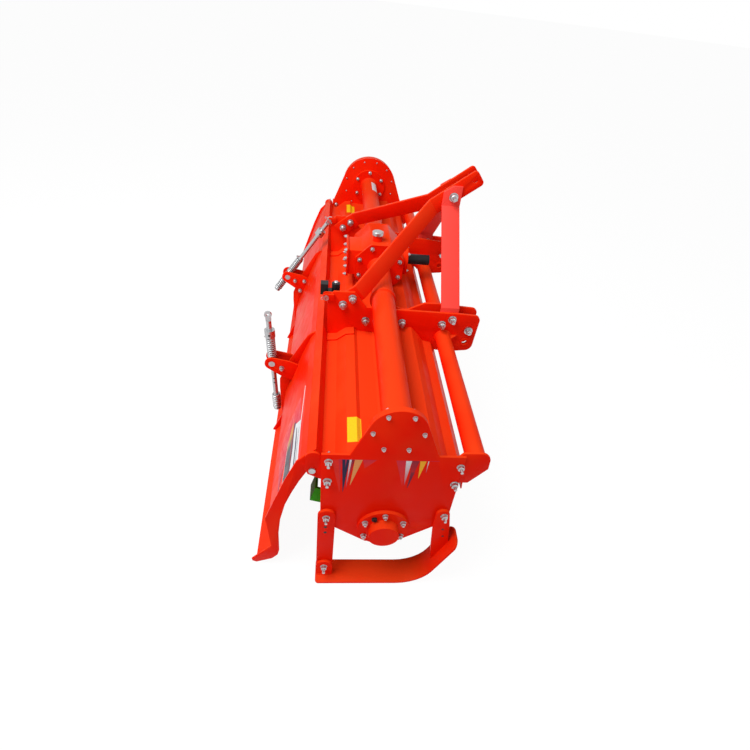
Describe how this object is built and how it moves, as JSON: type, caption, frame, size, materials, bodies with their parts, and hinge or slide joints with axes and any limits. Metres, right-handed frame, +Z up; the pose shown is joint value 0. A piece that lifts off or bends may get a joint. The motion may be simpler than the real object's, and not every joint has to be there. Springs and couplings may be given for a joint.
{
  "type": "rotavator",
  "caption": "Tractor-mounted rotary tiller: hooded tined rotor between end plates, gearbox on a cross tube, three-point mast, sprung trailing board and side skids.",
  "frame": {"origin": "on the ground, below the middle of the machine's width and length", "axes": "+X to the bearing end, the right-hand side looking forward; +Y forward to the tractor; +Z up"},
  "size_m": [2.1, 0.8629, 1.1275],
  "materials": {
    "red_paint": "gloss",
    "green_paint": "satin",
    "zinc": "zinc plated",
    "steel": "bright",
    "black_plastic": "satin"
  },
  "bodies": {
    "frame": {"bearing_hub": "red_paint", "bracket_left": "red_paint", "bracket_right": "red_paint", "cross_tube_left": "red_paint", "cross_tube_right": "red_paint", "end_plate_left": "red_paint", "end_plate_right": "red_paint", "front_pipe": "red_paint", "gear_case": "red_paint", "gear_case_cover": "red_paint", "gearbox_filler_cap": "zinc", "gearbox_housing": "red_paint", "gearbox_rear_cover": "red_paint", "hitch_inner_plate_left": "red_paint", "hitch_inner_plate_right": "red_paint", "hitch_pin_left": "zinc", "hitch_pin_right": "zinc", "hood_cheek_left": "red_paint", "hood_cheek_right": "red_paint", "hood_shell": "red_paint", "hose_holder": "black_plastic", "mast_bar_left": "red_paint", "mast_bar_right": "red_paint", "mast_strap_left": "red_paint", "mast_strap_right": "red_paint", "pto_guard": "black_plastic", "skid_front_leg_left": "red_paint", "skid_front_leg_right": "red_paint", "skid_left": "red_paint", "skid_rear_leg_left": "red_paint", "skid_rear_leg_right": "red_paint", "skid_right": "red_paint", "strut_pin_left": "zinc", "strut_pin_right": "zinc"},
    "rotor": {"rotor_tube": "red_paint", "rotor_gangs": "green_paint"},
    "pto_input": {"pto_shaft": "steel"},
    "trailing_board": {"board_sheet": "red_paint", "board_web_right": "red_paint", "board_web_left": "red_paint", "board_rib_right": "red_paint", "board_rib_left": "red_paint", "strut_clevis_right": "red_paint", "strut_clevis_left": "red_paint"},
    "strut_left": {"strut_rod_left": "zinc", "strut_spring_left": "zinc", "strut_low_spring_left": "zinc"},
    "trunnion_left": {"trunnion_left": "zinc"},
    "strut_right": {"strut_rod_right": "zinc", "strut_spring_right": "zinc", "strut_low_spring_right": "zinc", "trunnion_right": "zinc"}
  },
  "joints": [
    {"name": "rotor_spin", "type": "hinge", "parent": "frame", "child": "rotor", "pos_m": [0, 0.0575, 0.278], "axis": [1, 0, 0], "continuous": true},
    {"name": "pto_spin", "type": "hinge", "parent": "frame", "child": "pto_input", "pos_m": [-0.065, 0.0575, 0.709], "axis": [0, 1, 0], "continuous": true},
    {"name": "board_swing", "type": "hinge", "parent": "frame", "child": "trailing_board", "pos_m": [0, -0.1745, 0.54], "axis": [1, 0, 0], "range_deg": [-30, 10], "deforming": ["strut_spring_left", "strut_low_spring_left"]},
    {"name": "strut_left_swing", "type": "hinge", "parent": "frame", "child": "strut_left", "pos_m": [-0.356, -0.1565, 0.745], "axis": [1, 0, 0], "range_deg": [-15.7, 5.6]},
    {"name": "trunnion_left_turn", "type": "hinge", "parent": "trailing_board", "child": "trunnion_left", "pos_m": [-0.356, -0.3605, 0.442], "axis": [1, 0, 0], "range_deg": [-5.4, 15.3]},
    {"name": "strut_right_swing", "type": "hinge", "parent": "trailing_board", "child": "strut_right", "pos_m": [0.356, -0.3605, 0.442], "axis": [1, 0, 0], "range_deg": [-35, 0]}
  ],
  "couplings": [
    {"joint": "pto_spin", "follows": "rotor_spin", "ratio": -2.5},
    {"joint": "strut_left_swing", "follows": "board_swing", "ratio": 0.508},
    {"joint": "trunnion_left_turn", "follows": "board_swing", "ratio": -0.492}
  ]
}
